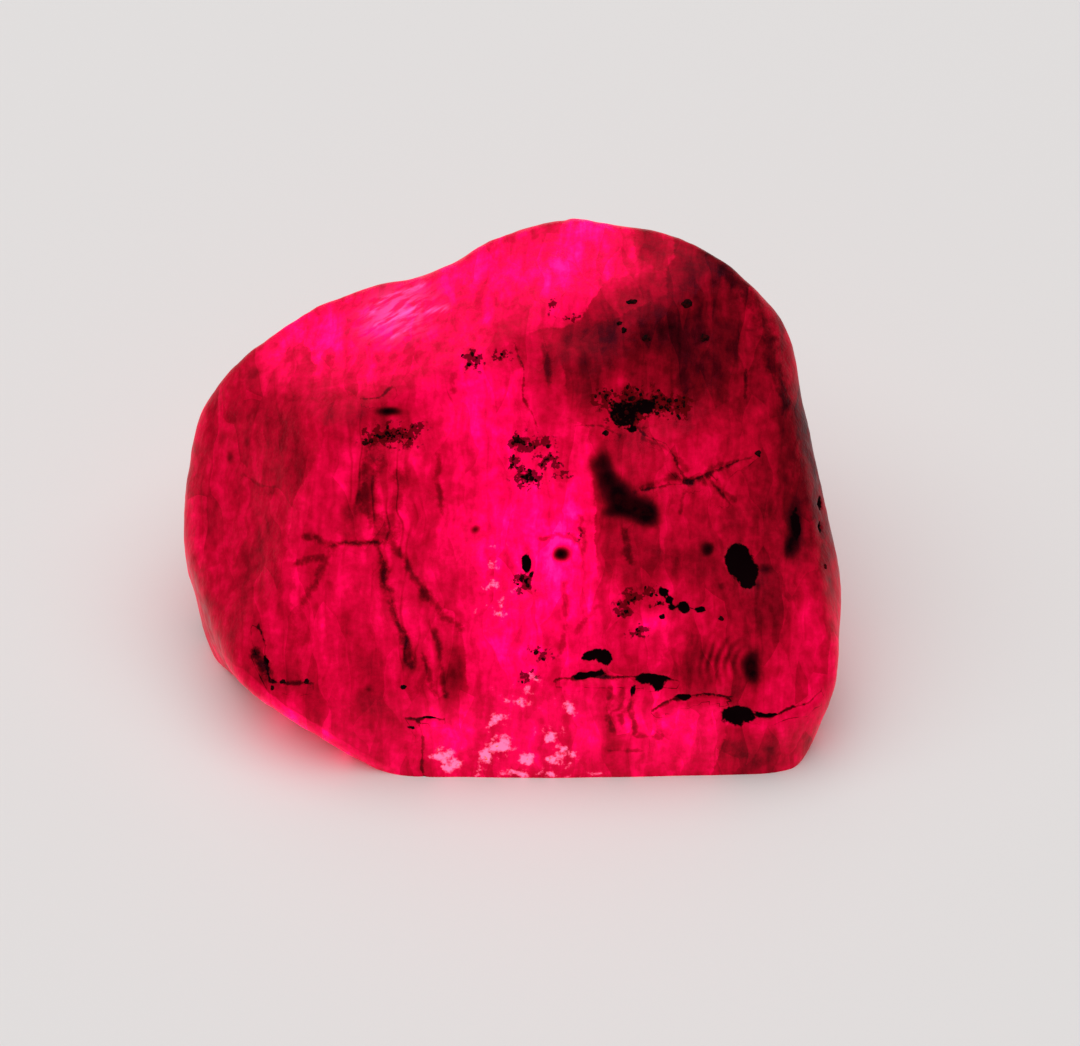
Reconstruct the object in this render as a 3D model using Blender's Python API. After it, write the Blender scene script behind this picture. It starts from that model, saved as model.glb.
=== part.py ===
"""A raw ruby crystal: one broken, water-worn piece of corundum that rests on its flat base.

Units are metres, with +Z up. The front of the stone looks along -Y, and the origin is the
middle of the box around the stone, on the surface that it rests on.

The stone is a body of flat faces around a heart point. Along each direction from the heart the
surface is where the nearest face or scoop is met, with worn edges where faces meet. It then
gets its broad swell, the upright growth grooves, the ledge over the foot and the open pits.
Shape values are written in millimetres, in the stone's own frame: x to the right, y away from
the front of the foot, z up from the base.
"""

import math
from dataclasses import dataclass

import bmesh
import bpy
import numpy as np
from mathutils import Vector, noise

MILLIMETRE = 0.001
STONE_WIDTH = 25.0  # across the widest part, left to right; the other sides follow it
HEART = (0.0, 8.5, 7.0)  # the point that every face is seen from
GRID_CUTS = 30  # cuts along each side of the starting cube
EDGE_WEAR = 60.0  # higher is a crisper edge between two faces

SWELL_HEIGHT = 0.13  # broad lumps of the worn surface
SWELL_LENGTH = 5.4
LUMP_HEIGHT = 0.07  # smaller lumps on top of them
LUMP_LENGTH = 2.1
GROOVE_HEIGHT = 0.06  # growth grooves, which run up the stone
GROOVE_SPACING = 1.3
GROOVE_LENGTH = 11.0
BASE_MARGIN = 0.5  # height over which the relief fades out above the base

LEDGE_START = 1.6  # x where the ledge over the foot begins
LEDGE_END = 10.8
LEDGE_HEIGHT = 4.75  # z of the ledge where it begins
LEDGE_FALL = 0.2  # how much lower the ledge gets for each millimetre to the right
LEDGE_DEPTH = 0.3
LEDGE_REACH = 1.3  # how far above the ledge the recess fades out
LEDGE_FRONT = 3.2  # the ledge is cut only where the surface is nearer the front than this

CLEAR_RED = (0.62, 0.004, 0.075, 1.0)
GLOW_RED = (1.0, 0.0, 0.12, 1.0)
RUBY_ROUGHNESS = 0.32
RUBY_REFRACTION = 1.76
RUBY_CLARITY = 0.45  # share of the light that passes through
RUBY_GLOW = 0.35


@dataclass(frozen=True)
class Face:
    """A flat face. Heading is 0 to the front and grows to the right; tilt is 90 straight up."""

    name: str
    heading: float
    tilt: float
    point: tuple[float, float, float]


@dataclass(frozen=True)
class Scoop:
    """A shell-shaped chip, cut by a ball that sinks to this depth at this point."""

    name: str
    heading: float
    tilt: float
    point: tuple[float, float, float]
    radius: float
    depth: float


@dataclass(frozen=True)
class Pit:
    """A small open hollow where a dark grain has weathered out."""

    name: str
    point: tuple[float, float, float]
    radius: float
    depth: float


FACES = (
    Face("front", -2, 42, (0.0, 4.5, 9.0)),
    Face("foot left", -1.5, 12, (-3.5, -0.62, 0.0)),
    Face("foot right", 1.5, 4, (8.0, -0.45, 0.0)),
    Face("front left", -26, 36, (-7.4, 5.0, 9.0)),
    Face("left", -54, 36, (-10.6, 7.3, 8.0)),
    Face("left side", -98, 3, (-12.95, 9.5, 6.0)),
    Face("left low", -70, -6, (-12.2, 5.2, 3.6)),
    Face("left under", -42, -38, (-8.7, 1.5, 1.2)),
    Face("top", -74, 70, (-2.0, 12.0, 13.8)),
    Face("top left", -95, 44, (-11.1, 12.0, 10.8)),
    Face("crest", -10, 80, (3.0, 12.0, 14.9)),
    Face("crest right", 56, 58, (8.2, 12.3, 15.0)),
    Face("front right", 28, 44, (8.3, 4.0, 7.4)),
    Face("right shoulder", 72, 36, (10.35, 11.1, 12.0)),
    Face("right", 79, 22, (11.7, 7.8, 7.6)),
    Face("right foot", 44, 0, (11.8, 1.0, 0.6)),
    Face("right low", 92, -20, (12.05, 7.0, 2.5)),
    Face("right back", 118, -6, (11.6, 8.8, 7.0)),
    Face("back", 178, 6, (0.0, 17.4, 6.0)),
    Face("back left", -140, 10, (-8.5, 15.0, 6.0)),
    Face("back right", 146, 22, (7.5, 15.8, 9.0)),
    Face("back top", 168, 48, (3.0, 14.7, 15.0)),
    Face("back top left", -162, 27, (-2.0, 14.6, 13.6)),
    Face("back low", -172, -36, (0.0, 16.0, 1.5)),
    Face("back left low", -125, -28, (-9.5, 13.0, 2.0)),
)

SCOOPS = (
    Scoop("dip behind the top", -165, 48, (-4.0, 14.0, 13.1), 4.4, 0.16),
    Scoop("chip on the ridge", 2, 58, (2.2, 9.6, 14.3), 3.0, 0.4),
    Scoop("chip at the crest's end", 25, 66, (5.4, 10.2, 14.8), 4.4, 0.35),
    Scoop("hollow of the left face", -50, 30, (-9.9, 6.6, 8.2), 16.0, 0.25),
    Scoop("shell on the back", 176, 10, (1.5, 17.3, 7.0), 9.0, 0.7),
    Scoop("shell on the back left", -128, 20, (-8.0, 15.2, 7.8), 7.5, 0.5),
    Scoop("flake off the right back", 132, 14, (10.0, 13.2, 8.0), 8.0, 0.45),
    Scoop("chip of the back edge", 170, 36, (3.4, 15.9, 13.0), 3.6, 0.35),
)

PITS = (
    Pit("upper right cluster", (4.8, 7.4, 12.2), 1.3, 0.2),
    Pit("upper middle cluster", (0.7, 6.0, 10.6), 1.0, 0.1),
    Pit("upper left cluster", (-4.5, 6.8, 11.5), 1.1, 0.12),
    Pit("right hole", (8.6, 3.9, 7.2), 0.9, 0.32),
    Pit("right slot", (10.6, 5.4, 7.7), 0.8, 0.22),
    Pit("middle cluster", (5.4, 2.4, 6.6), 1.0, 0.16),
    Pit("hole over the ledge", (3.2, 1.1, 5.2), 0.8, 0.3),
    Pit("hole in the foot", (8.5, 0.2, 2.9), 0.85, 0.3),
    Pit("left notch", (-9.3, 3.0, 3.0), 1.0, 0.25),
)


def outward(heading: float, tilt: float) -> np.ndarray:
    """Unit vector that a face with this heading and tilt looks along."""
    turn = math.radians(heading)
    rise = math.radians(tilt)
    return np.array((math.sin(turn) * math.cos(rise), -math.cos(turn) * math.cos(rise), math.sin(rise)))


def reach_of_face(face: Face, directions: np.ndarray) -> np.ndarray:
    """Distance from the heart to a face along each direction, endless where it is never met."""
    normal = outward(face.heading, face.tilt)
    gap = normal @ (np.array(face.point) - np.array(HEART))
    facing = directions @ normal
    return np.where(facing > 0.001, gap / np.maximum(facing, 0.001), 1000.0)


def reach_of_scoop(scoop: Scoop, directions: np.ndarray) -> np.ndarray:
    """Distance from the heart to a scoop's ball along each direction, endless where it is missed."""
    lift = scoop.radius - scoop.depth
    centre = np.array(scoop.point) + outward(scoop.heading, scoop.tilt) * lift - np.array(HEART)
    along = directions @ centre
    inside = along**2 - centre @ centre + scoop.radius**2
    hit = (inside > 0.0) & (along > 0.0)
    return np.where(hit, along - np.sqrt(np.maximum(inside, 0.0)), 1000.0)


def worn_body(directions: np.ndarray) -> np.ndarray:
    """Points where directions from the heart leave the body of faces and scoops."""
    reaches = [reach_of_face(face, directions) for face in FACES]
    reaches += [reach_of_scoop(scoop, directions) for scoop in SCOOPS]
    stack = np.stack(reaches, axis=1)
    nearest = stack.min(axis=1)
    share = (nearest[:, None] / stack) ** EDGE_WEAR
    worn = nearest * share.sum(axis=1) ** (-1.0 / EDGE_WEAR)
    return np.array(HEART) + directions * worn[:, None]


def rest_on_base(points: np.ndarray, edges: np.ndarray) -> np.ndarray:
    """Flattens what is below the base onto it, with the row next to the sides on the base's rim."""
    heart = np.array(HEART)
    drop = heart[2] - points[:, 2]
    share = np.where(drop > heart[2], heart[2] / np.maximum(drop, heart[2]), 1.0)
    rested = heart + (points - heart) * share[:, None]
    both = np.concatenate((edges, edges[:, ::-1]))
    crossing = both[(points[both[:, 0], 2] < 0.0) & (points[both[:, 1], 2] >= 0.0)]
    under = points[crossing[:, 0]]
    over = points[crossing[:, 1]]
    part = under[:, 2] / (under[:, 2] - over[:, 2])
    rim = under + (over - under) * part[:, None]
    total = np.zeros_like(points)
    count = np.zeros(len(points))
    np.add.at(total, crossing[:, 0], rim)
    np.add.at(count, crossing[:, 0], 1.0)
    on_rim = count > 0.0
    rested[on_rim] = total[on_rim] / count[on_rim, None]
    rested[on_rim, 2] = 0.0
    return rested


def swell(point: np.ndarray) -> float:
    """Height of the broad and small lumps at a point."""
    broad = noise.noise(Vector(point / SWELL_LENGTH))
    small = noise.noise(Vector(point / LUMP_LENGTH) + Vector((7.0, 3.0, 5.0)))
    return SWELL_HEIGHT * broad + LUMP_HEIGHT * small


def grooves(point: np.ndarray) -> float:
    """Depth of the growth grooves, which are narrow across the stone and long up it."""
    stretched = (point[0] / GROOVE_SPACING, point[1] / GROOVE_SPACING / 2.0, point[2] / GROOVE_LENGTH)
    return GROOVE_HEIGHT * noise.noise(Vector(stretched) + Vector((2.0, 9.0, 4.0)))


def ledge(point: np.ndarray) -> float:
    """Depth of the recess above the ledge that crosses the front over the foot."""
    x, y, z = point
    if not LEDGE_START < x < LEDGE_END or y > LEDGE_FRONT:
        return 0.0
    above = z - (LEDGE_HEIGHT - LEDGE_FALL * (x - LEDGE_START))
    if above < 0.0:
        return 0.0
    ends = min(1.0, (x - LEDGE_START) / 1.0, (LEDGE_END - x) / 1.0)
    return -LEDGE_DEPTH * ends * math.exp(-above / LEDGE_REACH)


def pits(point: np.ndarray) -> float:
    """Depth of the open pits at a point."""
    deep = 0.0
    for pit in PITS:
        away = float(np.linalg.norm(point - np.array(pit.point))) / pit.radius
        deep -= pit.depth * math.exp(-(away**4))
    return deep


def relief(point: np.ndarray) -> float:
    """Height of the surface over the worn body at a point, fading out just above the base."""
    fade = min(1.0, max(0.0, point[2] / BASE_MARGIN))
    return fade * (swell(point) + grooves(point) + ledge(point) + pits(point))


def grid_cube() -> bmesh.types.BMesh:
    """A cube cut into even squares, whose corners give evenly spread directions."""
    cube = bmesh.new()
    bmesh.ops.create_cube(cube, size=2.0)
    bmesh.ops.subdivide_edges(cube, edges=cube.edges[:], cuts=GRID_CUTS, use_grid_fill=True)
    cube.verts.index_update()
    return cube


def seam_base(body: bmesh.types.BMesh) -> None:
    """Cuts the squares that fold over the base's rim along it, then every square into triangles."""
    on_base = {vertex for vertex in body.verts if vertex.co.z == 0.0}
    rim = [v for v in on_base if any(edge.other_vert(v) not in on_base for edge in v.link_edges)]
    bmesh.ops.connect_verts(body, verts=rim)
    bmesh.ops.triangulate(body, faces=body.faces[:], quad_method="BEAUTY")


def place(mesh: bmesh.types.BMesh, points: np.ndarray) -> None:
    """Moves the vertices to these points."""
    for vertex, point in zip(mesh.verts, points):
        vertex.co = point
    mesh.normal_update()


def stone_mesh() -> bpy.types.Mesh:
    """The whole stone in metres, its box centred over the origin and its base at height zero."""
    body = grid_cube()
    edges = np.array([[corner.index for corner in edge.verts] for edge in body.edges])
    even = np.tan(np.array([vertex.co[:] for vertex in body.verts]) * math.pi / 4.0)
    directions = even / np.linalg.norm(even, axis=1)[:, None]
    points = worn_body(directions)
    place(body, points)
    heights = np.array([relief(point) for point in points])
    normals = np.array([vertex.normal[:] for vertex in body.verts])
    points = rest_on_base(points + normals * heights[:, None], edges)
    low = points.min(axis=0)
    high = points.max(axis=0)
    middle = np.array(((low[0] + high[0]) / 2.0, (low[1] + high[1]) / 2.0, 0.0))
    scale = STONE_WIDTH / (high[0] - low[0]) * MILLIMETRE
    place(body, (points - middle) * scale)
    seam_base(body)
    mesh = bpy.data.meshes.new("ruby_crystal")
    body.to_mesh(mesh)
    body.free()
    mesh.shade_smooth()
    return mesh


def ruby() -> bpy.types.Material:
    """Cloudy pink-red corundum with a frosted, worn skin and the red glow that it gives off."""
    material = bpy.data.materials.new("ruby")
    material.use_nodes = True
    shader = material.node_tree.nodes["Principled BSDF"]
    shader.inputs["Base Color"].default_value = CLEAR_RED
    shader.inputs["Metallic"].default_value = 0.0
    shader.inputs["Roughness"].default_value = RUBY_ROUGHNESS
    shader.inputs["IOR"].default_value = RUBY_REFRACTION
    shader.inputs["Transmission Weight"].default_value = RUBY_CLARITY
    shader.inputs["Emission Color"].default_value = GLOW_RED
    shader.inputs["Emission Strength"].default_value = RUBY_GLOW
    material.diffuse_color = CLEAR_RED
    return material


def main() -> None:
    """Clears the scene and adds the stone."""
    for leftover in list(bpy.data.objects):
        bpy.data.objects.remove(leftover)
    mesh = stone_mesh()
    mesh.materials.append(ruby())
    stone = bpy.data.objects.new("ruby_crystal", mesh)
    bpy.context.scene.collection.objects.link(stone)


main()
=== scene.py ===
"""Dresses the raw ruby crystal: its fine skin, the light inside it, its dark grains and its frost.

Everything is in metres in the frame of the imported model, with +Z up and the front along -Y.
The tables below are in millimetres in that same frame, because the stone is 25 mm wide.
"""

import logging
import math
from dataclasses import dataclass
from enum import Enum

import bmesh
import bpy
import numpy as np
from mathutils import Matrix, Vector, noise
from mathutils.bvhtree import BVHTree

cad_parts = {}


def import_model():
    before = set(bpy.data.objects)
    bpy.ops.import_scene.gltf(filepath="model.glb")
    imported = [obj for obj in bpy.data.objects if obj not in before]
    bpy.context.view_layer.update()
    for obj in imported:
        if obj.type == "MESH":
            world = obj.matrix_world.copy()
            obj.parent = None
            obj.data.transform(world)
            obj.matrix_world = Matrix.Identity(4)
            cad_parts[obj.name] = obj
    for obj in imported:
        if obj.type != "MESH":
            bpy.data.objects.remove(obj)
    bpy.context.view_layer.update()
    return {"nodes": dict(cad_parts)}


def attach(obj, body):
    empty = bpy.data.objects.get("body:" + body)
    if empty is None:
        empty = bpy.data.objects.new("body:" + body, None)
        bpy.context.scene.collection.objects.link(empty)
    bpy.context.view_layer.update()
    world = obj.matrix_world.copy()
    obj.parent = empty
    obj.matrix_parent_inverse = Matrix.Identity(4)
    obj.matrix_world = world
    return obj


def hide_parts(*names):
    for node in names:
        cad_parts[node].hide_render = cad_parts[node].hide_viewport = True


LOG = logging.getLogger("ruby")
MILLIMETRE = 0.001
FAR = 1000.0  # millimetres, more than any distance on the stone
LANES = 3

Point = tuple[float, float, float]
Colour = tuple[float, float, float, float]
Socket = bpy.types.NodeSocket
Feed = float | Point | Colour | Socket


class Layer(Enum):
    """What each vertex of the stone's skin carries for its finish."""

    GLOW = "glow"
    VEIL = "veil"
    SPOT = "spot"
    GRIT = "grit"
    FROST = "frost"
    MILK = "milk"
    FIBRE = "fibre"
    WARP = "warp"
    EDGE_SIDE = "edge_side"
    EDGE_DROP = "edge_drop"
    SHADE_AWAY = "shade_away"
    SHADE_NEAR = "shade_near"
    CRACK_SIDE = "crack_side"
    CRACK_NEAR = "crack_near"
    RIB = "rib"
    RIB_NEAR = "rib_near"


@dataclass(frozen=True)
class Cloud:
    """A soft region of the stone: where it is, how far it reaches along x, y and z, how strong."""

    name: str
    place: Point
    size: Point
    amount: float

    def over(self, points: np.ndarray) -> np.ndarray:
        """Its strength at each point: the amount in its middle, fading to 0."""
        away = (points - np.array(self.place)) / np.array(self.size)
        return self.amount * np.exp(-(away**2).sum(axis=1))


@dataclass(frozen=True)
class Boundary(Cloud):
    """A crisp edge in the stone's brightness, along a line that cuts its cloud off.

    The cloud shows only to the right of the line, for someone who walks along it on the surface.
    Edges of one lane stay apart from each other.
    """

    lane: int
    points: tuple[Point, ...]
    softness: float = 0.05


@dataclass(frozen=True)
class Line:
    """A line on the surface, such as a healed crack or a dark fibre: how strong, how wide, how deep."""

    name: str
    points: tuple[Point, ...]
    strength: float
    width: float
    depth: float = 0.0


@dataclass(frozen=True)
class Speck:
    """One dark grain that stands in the surface."""

    name: str
    place: Point
    size: Point


def clouds(*rows: tuple[str | float, ...]) -> tuple[Cloud, ...]:
    """Clouds from rows of a name, the place, the reach along x, y and z, and the amount."""
    return tuple(Cloud(str(row[0]), row[1:4], row[4:7], row[7]) for row in rows)


GLOW_LEVEL = 0.74
CROWN_STEP = Cloud("step of the crown", (2.6, 5.8, 15.0), (1.4, 1.2, 1.0), 1.0)
MILK_HAZE = Cloud("haze of the streaks", (-4.2, 3.3, 12.5), (1.25, 1.1, 0.8), 0.55)
# Painted light and shade of the ribs: the glow swings lighter and darker in rings about RIB_CENTRE, with no
# ribs in the relief.
RIBS = Cloud("ribs", (7.7, -7.2, 4.6), (0.85, 0.8, 0.55), 0.17)
RIB_CENTRE = (9.0, -7.1, 4.2)

# Bright and dim regions, added to the level of the glow.
GLOW_CLOUDS = clouds(
    ("top face", -1.0, 4.2, 13.8, 5.5, 3.2, 3.0, 0.27),
    ("left of the top", -5.6, 2.6, 12.2, 2.4, 2.6, 1.6, 0.2),
    ("top, by the ridge", 2.4, 3.2, 14.4, 2.2, 1.0, 0.9, 0.08),
    ("far left of the top", -8.4, 2.6, 11.2, 1.4, 1.8, 1.1, 0.28),
    ("right end of the top", 3.6, 5.0, 15.0, 1.8, 2.0, 1.6, 0.07),
    ("column, upper", -0.9, -1.4, 11.8, 2.7, 3.0, 2.4, 0.2),
    ("column, middle", 0.4, -4.6, 8.0, 2.9, 3.0, 3.0, 0.33),
    ("column, by the seam", 2.3, -4.2, 8.8, 0.8, 2.0, 2.2, 0.1),
    ("column, lower", 0.2, -7.6, 3.8, 2.6, 3.0, 2.8, 0.24),
    ("under the column", 0.0, -8.8, 1.4, 3.0, 2.0, 1.6, 0.06),
    ("foot", 3.4, -8.8, 1.6, 4.4, 2.0, 2.0, 0.12),
    ("foot of the left", -5.4, -8.4, 1.0, 4.0, 2.0, 1.3, 0.06),
    ("left face", -10.0, -0.5, 8.0, 2.6, 4.5, 4.5, -0.03),
    ("front left", -6.2, -5.0, 7.0, 2.2, 4.0, 3.4, 0.1),
    ("front left, foot", -4.0, -7.4, 4.4, 2.6, 2.0, 1.8, -0.03),
    ("upper right", 6.4, 0.4, 12.8, 3.0, 2.8, 2.2, -0.31),
    ("right shoulder", 8.4, 3.2, 13.2, 2.2, 2.4, 2.4, -0.15),
    ("chamfer", 4.0, 1.4, 14.0, 1.7, 0.9, 0.6, 0.15),
    ("right, under the shoulder", 7.0, -0.2, 11.9, 1.6, 1.6, 1.2, -0.16),
    ("right middle", 7.4, -3.2, 9.2, 2.8, 2.0, 2.0, 0.08),
    ("right of the round grain", 4.7, -5.5, 7.1, 1.3, 0.9, 1.0, -0.16),
    ("under the round grain", 2.4, -6.4, 5.9, 1.0, 0.9, 1.0, 0.1),
    ("right low", 9.0, -5.6, 5.6, 3.0, 2.4, 2.6, -0.17),
    ("right flank", 11.0, -0.6, 8.6, 2.4, 4.0, 4.5, -0.45),
    ("over the right hole", 8.3, -3.5, 8.0, 1.5, 0.9, 0.7, -0.14),
    ("over the arc", 6.3, -5.1, 7.6, 1.1, 0.8, 0.6, -0.2),
    ("shade of the fibres", -5.6, -3.5, 9.1, 0.55, 1.0, 1.2, -0.22),
    ("inside the arc", 5.3, -6.6, 5.8, 0.8, 0.5, 0.45, 0.24),
    ("over the upper cluster", 4.0, -0.5, 12.4, 0.5, 0.25, 0.22, 0.24),
    ("beside the cloudy grain", 4.0, -2.8, 10.1, 0.22, 0.4, 0.5, 0.22),
    ("light patch of the fibres", -3.7, -6.6, 5.6, 0.5, 0.9, 0.7, 0.16),
    ("shade over the rim band", -7.5, -7.2, 3.6, 2.6, 0.8, 0.9, -0.15),
    ("back", 1.0, 8.0, 7.0, 9.0, 3.0, 5.0, -0.1),
    ("back foot", -2.0, 7.5, 1.5, 7.0, 3.0, 2.4, 0.18),
)

# Crisp edges of brightness: the region that each one cuts off, its lane and its line.
BOUNDARIES = (
    Boundary(
        "front ridge", (3.4, 1.4, 13.7), (2.9, 1.6, 1.2), -0.31, 0,
        (
            (-0.8, 0.1, 13.1), (0.1, 0.5, 13.6), (1.3, 1.0, 13.7), (1.9, 1.2, 13.6), (2.6, 1.5, 13.8),
            (2.9, 1.8, 14.1), (3.3, 2.5, 14.4), (3.7, 2.9, 14.5), (4.6, 3.1, 14.6), (6.0, 3.8, 14.7),
        ),
    ),
    Boundary(
        "chamfer, lower edge", (5.0, 1.0, 13.6), (1.8, 1.2, 0.9), -0.2, 1,
        ((2.6, 1.4, 13.8), (3.8, 1.2, 13.9), (4.6, 1.5, 14.2), (5.8, 2.3, 14.3)), 0.06,
    ),
    Boundary(
        "end of the chamfer", (7.0, 3.8, 14.4), (1.7, 2.2, 1.2), -0.27, 2,
        ((5.8, 2.2, 14.3), (5.8, 3.4, 14.6), (6.1, 3.9, 14.7), (6.1, 4.8, 14.9), (6.1, 6.0, 14.9)),
    ),
    Boundary(
        "end facet of the top", (5.4, 4.9, 14.9), (1.1, 1.4, 0.8), -0.22, 0,
        ((5.2, 3.5, 14.7), (4.6, 4.1, 14.7), (4.6, 5.1, 14.9), (4.5, 6.2, 14.9)),
    ),
    Boundary(
        "edge of the right panel", (1.3, -0.4, 12.8), (1.2, 1.2, 1.0), -0.14, 1,
        ((0.9, -1.6, 11.5), (0.5, -1.2, 11.9), (0.5, -0.7, 12.5), (0.4, -0.2, 12.9), (0.2, 0.3, 13.4)),
    ),
    Boundary(
        "second edge of the panel", (2.9, -0.5, 12.6), (1.3, 1.1, 1.0), -0.22, 2,
        ((2.0, -1.2, 12.0), (2.0, -0.7, 12.5), (1.9, -0.2, 13.0), (1.9, 1.1, 13.6)), 0.06,
    ),
    Boundary(
        "upright seam of the middle", (3.6, -3.9, 8.9), (1.5, 2.2, 2.0), -0.32, 2,
        ((3.2, -5.3, 7.2), (3.1, -4.2, 8.4), (3.1, -3.4, 9.5), (2.9, -2.4, 10.6), (2.8, -1.8, 11.3)),
    ),
    Boundary(
        "left ridge, upper", (-8.6, -1.2, 9.6), (1.9, 3.0, 2.2), -0.17, 0,
        (
            (-6.7, 0.6, 11.4), (-6.6, -0.6, 11.3), (-7.0, -1.9, 10.5), (-7.5, -2.3, 9.5), (-8.1, -2.7, 8.4),
            (-8.3, -3.0, 7.9),
        ),
    ),
    Boundary(
        "left ridge, lower", (-9.4, -5.0, 5.8), (1.8, 3.0, 2.0), -0.15, 1,
        ((-8.3, -3.4, 7.6), (-8.1, -4.6, 6.6), (-8.1, -5.4, 5.6), (-7.8, -6.6, 4.2)), 0.16,
    ),
    Boundary(
        "left end of the top", (-9.0, 2.6, 10.6), (1.8, 2.8, 1.6), -0.12, 1,
        ((-7.6, 6.0, 11.4), (-7.6, 2.9, 11.3), (-7.4, 1.2, 11.3), (-6.9, 0.5, 11.4)), 0.06,
    ),
    Boundary(
        "front ridge, left end", (-5.1, -1.0, 11.2), (1.8, 1.1, 0.9), -0.2, 2,
        ((-6.9, 0.3, 11.4), (-5.6, 0.1, 11.8), (-4.5, -0.4, 12.1), (-3.4, -0.6, 12.3)),
    ),
    Boundary(
        "rim band of the left", (-8.8, -7.4, 1.8), (3.8, 2.8, 2.4), 0.22, 0,
        (
            (-11.6, -3.0, 1.6), (-10.8, -5.4, 3.0), (-10.0, -6.4, 3.2), (-8.9, -7.3, 2.8),
            (-7.2, -8.3, 2.2), (-5.1, -8.6, 0.7),
        ),
    ),
    Boundary(
        "dark flap beside the column", (-2.0, -7.6, 4.5), (0.42, 1.1, 1.3), -0.4, 0,
        ((-1.85, -6.5, 5.8), (-1.65, -7.2, 5.0), (-1.65, -7.7, 4.4), (-1.5, -8.25, 3.2)),
    ),
    Boundary(
        "step of the foot", (-2.7, -8.4, 1.8), (0.9, 0.8, 1.5), 0.18, 1,
        ((-3.3, -8.8, 0.1), (-3.3, -8.5, 1.6), (-3.3, -8.3, 3.1)),
    ),
    Boundary(
        "edge of the ribbed part", (6.8, -7.4, 4.6), (1.3, 1.0, 0.8), -0.2, 1,
        ((5.4, -7.9, 4.2), (5.5, -7.4, 4.8), (6.0, -7.2, 5.2), (6.6, -6.9, 5.5), (7.8, -6.5, 5.4)), 0.07,
    ),
    Boundary(
        "ledge", (6.6, -8.3, 2.6), (2.4, 0.9, 1.3), 0.22, 2,
        (
            (3.6, -7.8, 4.2), (5.9, -7.8, 4.1), (6.4, -8.2, 3.6), (7.9, -8.0, 3.3), (8.4, -8.1, 2.9),
            (9.9, -8.3, 2.7),
        ), 0.06,
    ),
    Boundary(
        "foot corner", (8.7, -8.4, 1.0), (2.4, 1.6, 1.6), -0.28, 0,
        ((7.4, -8.9, 0.0), (7.8, -8.6, 1.0), (7.9, -8.6, 1.5), (8.0, -8.5, 2.2)),
    ),
    Boundary(
        "right rim", (11.2, -5.8, 4.8), (1.1, 2.4, 2.2), 0.13, 2,
        ((10.4, -8.1, 2.8), (10.4, -6.2, 4.6), (10.4, -4.6, 6.0)),
    ),
)

# The bundle of dark fibres on the left of the front.
FIBRES = (
    Line(
        "upper", ((-5.1, -2.2, 10.5), (-5.3, -2.9, 9.7), (-5.4, -3.4, 9.2), (-4.7, -4.3, 8.1)),
        0.26, 0.4,
    ),
    Line("upper right", ((-4.1, -2.7, 9.9), (-4.1, -3.3, 9.3), (-4.5, -4.0, 8.4)), 0.16, 0.3),
    Line(
        "left", ((-4.9, -4.5, 7.9), (-4.6, -5.4, 6.7), (-3.9, -6.8, 5.3), (-3.7, -7.5, 4.6)),
        0.28, 0.17,
    ),
    Line(
        "right", ((-4.4, -4.4, 7.9), (-4.0, -4.9, 7.3), (-3.2, -5.8, 6.5), (-1.9, -6.7, 5.6)),
        0.25, 0.17,
    ),
    Line("low left", ((-3.3, -7.2, 4.9), (-2.8, -8.2, 3.7)), 0.22, 0.13),
    Line("low middle", ((-2.8, -6.7, 5.6), (-2.4, -8.2, 3.7)), 0.2, 0.12),
)
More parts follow.
